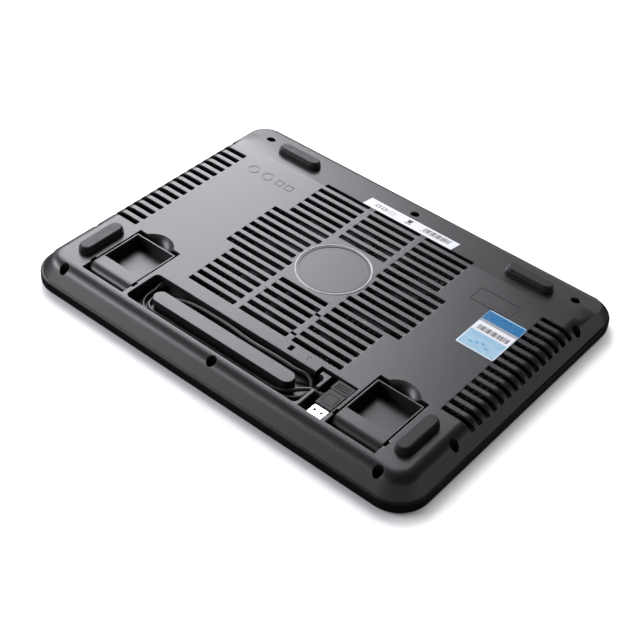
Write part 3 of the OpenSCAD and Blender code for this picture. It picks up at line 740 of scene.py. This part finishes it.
def make_studio():
    make_surroundings()
    bpy.context.scene.view_settings.view_transform = "Standard"
    make_floor()
    add_light("softbox_back_left", (-1.68, 1.1, 1.42), (-0.1, 0, 0), (1.7, 1.3), 8.0)
    add_light("softbox_back_low", (-1.48, 1.62, 0.95), (0, 0, 0), (1.15, 0.5), 7.0)
    add_light("softbox_high", (-1.15, 1.0, 2.0), (0, 0, 0), (1.0, 0.8), 4.0)
    add_light("strip_front", (-1.80, -1.35, 1.0), (0, 0, 0), (1.7, 0.6), 15.0)


# ---- Camera, materials, the cord with its pieces, the studio, then the other parts ----

make_camera()
cable_plastic = moulded_plastic("cable_plastic", (0.010, 0.010, 0.011), 0.38, 0.0006, 0.00001)
plug_plastic = moulded_plastic("plug_plastic", (0.009, 0.009, 0.010), 0.45, 0.0005, 0.00002, specular=0.28)
cover_plastic = moulded_plastic("cover_plastic", (0.010, 0.0103, 0.0115), 0.36)
leg_plastic = moulded_plastic("leg_plastic", (0.009, 0.0093, 0.0105), 0.36)
# The rim's base is darker than the cover's: its own black plastic, darkened further as painted shade from the
# shadowed floor
rim_black_painted_shade = moulded_plastic("rim_black_painted_shade", (0.005, 0.005, 0.0055), 0.3, 0.0006, 0.00001, specular=0.2)
# The fan's plastic is darker than the other plastics: painted shade, so that the slots over it read black
fan_plastic = moulded_plastic("fan_plastic", (0.003, 0.003, 0.0035), 0.5, 0.0008, 0.00001, specular=0.12)
# The bead is coloured pale: a painted highlight on a bead of the cover's plastic
bead_painted_highlight = moulded_plastic("bead_painted_highlight", (0.42, 0.42, 0.44), 0.3, 0.0006, 0.00001, 0.04)
white_plastic = moulded_plastic("white_plastic", (0.72, 0.72, 0.70), 0.35, 0.0008, 0.00001, 0.03)
board = moulded_plastic("board", (0.02, 0.12, 0.05), 0.3, 0.0010, 0.00001)
ferrite = moulded_plastic("ferrite", (0.03, 0.03, 0.032), 0.6, 0.0003, 0.00003)
rubber = rubber_material()
steel = metal_material("bright_steel", (0.80, 0.80, 0.82), 0.2, (1, 0.1, 1))
pin_steel = metal_material("pin_steel", (0.55, 0.55, 0.57), 0.25, (0.1, 1, 1))
black_zinc = metal_material("black_zinc", (0.06, 0.06, 0.065), 0.35)
painted_steel = moulded_plastic("painted_steel", (0.004, 0.004, 0.0045), 0.6, 0.0005, 0.00002, specular=0.12)
laminations = metal_material("laminations", (0.4, 0.4, 0.42), 0.35, (1, 1, 6))
copper = metal_material("copper", (0.72, 0.30, 0.12), 0.3, (1, 1, 5))
brass = metal_material("brass", (0.78, 0.57, 0.25), 0.3)

plug_pieces = make_plug(plug_plastic, steel, white_plastic, brass)
make_cable(cable_plastic)
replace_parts(make_grommet(cable_plastic), "strain_relief")
make_studio()

refined("bottom_cover", "cover_shell", cover_plastic, is_opening_edge, EDGE_RADIUS)
refined("top_frame", "rim_frame", rim_black_painted_shade)
make_grille(painted_steel)
make_ring(bead_painted_highlight, turned_disc_material(FAN_CENTRE))
for side in ("left", "right"):
    refined("leg_" + side, "tray_leg_" + side, leg_plastic, is_outer_edge, EDGE_RADIUS)
    give(nodes["leg_pin_" + side], pin_steel)
    for end in ("rear", "front"):
        refined(f"foot_{end}_{side}", f"rubber_foot_{end}_{side}", rubber)
refined("fan_rotor", "impeller", fan_plastic)
refined("case_screws", "cover_screws", black_zinc)
for node, material in (("fan_screws", black_zinc), ("motor_base", fan_plastic), ("motor_bearing", brass),
                       ("stator_core", laminations), ("stator_coils", copper), ("motor_board", board),
                       ("rotor_magnet", ferrite), ("rotor_shaft", pin_steel), ("fan_lead", cable_plastic)):
    give(nodes[node], material)
make_labels()
